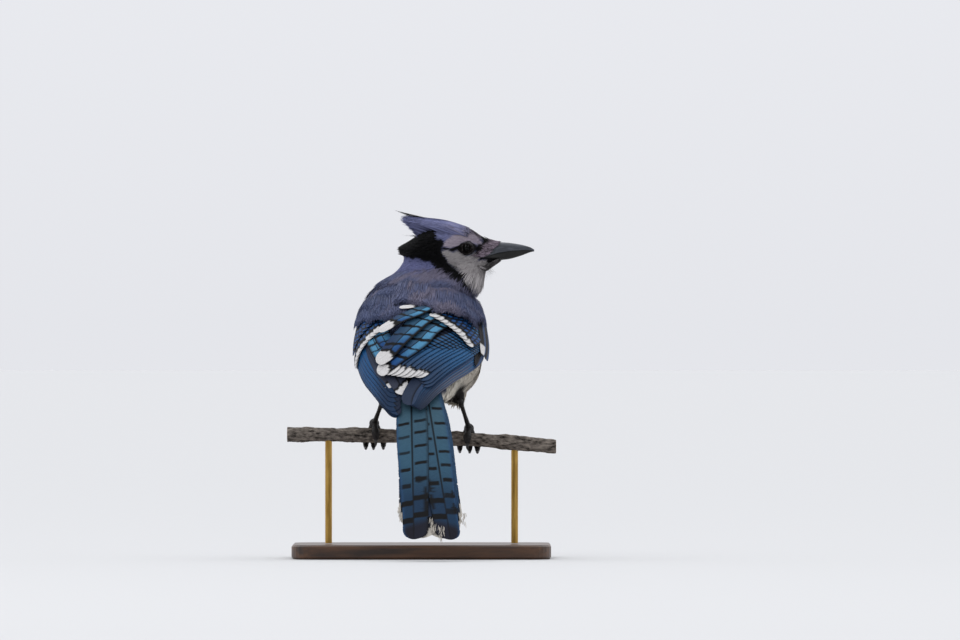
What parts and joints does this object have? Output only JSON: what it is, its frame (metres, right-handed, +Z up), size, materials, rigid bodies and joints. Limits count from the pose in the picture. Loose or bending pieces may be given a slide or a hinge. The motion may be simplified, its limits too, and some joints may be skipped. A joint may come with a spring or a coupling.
{
  "type": "blue jay model",
  "caption": "Life-size still model of a blue jay seen perched on a short cut branch, head turned to its right, held over a flat wooden base by two rods.",
  "frame": {"origin": "centre of the stand base's flat underside, on the surface that it stands on", "axes": "+Z up, +Y the way that the bird's body faces, +X the bird's right, which its bill points along; the branch runs along X"},
  "size_m": [0.1565, 0.1955, 0.2023],
  "materials": {
    "feather_grey": "matte",
    "feather_blue": "satin",
    "horn": "satin",
    "eye": "gloss",
    "leg_scale": "satin",
    "bark": "rough",
    "base_wood": "satin",
    "rod_brass": "satin"
  },
  "bodies": {
    "root": {"head": "feather_grey", "neck": "feather_grey", "torso": "feather_grey", "wing_left": "feather_blue", "wing_right": "feather_blue", "tail": "feather_blue", "thigh_left": "feather_grey", "thigh_right": "feather_grey", "bill_upper": "horn", "bill_lower": "horn", "eye_left": "eye", "eye_right": "eye", "tarsus_left": "leg_scale", "tarsus_right": "leg_scale", "foot_left": "leg_scale", "foot_right": "leg_scale", "perch": "bark", "stand_base": "base_wood", "stand_rod_left": "rod_brass", "stand_rod_right": "rod_brass", "claw_left_inner": "horn", "claw_left_middle": "horn", "claw_left_outer": "horn", "claw_left_hind": "horn", "claw_right_inner": "horn", "claw_right_middle": "horn", "claw_right_outer": "horn", "claw_right_hind": "horn"}
  },
  "joints": []
}
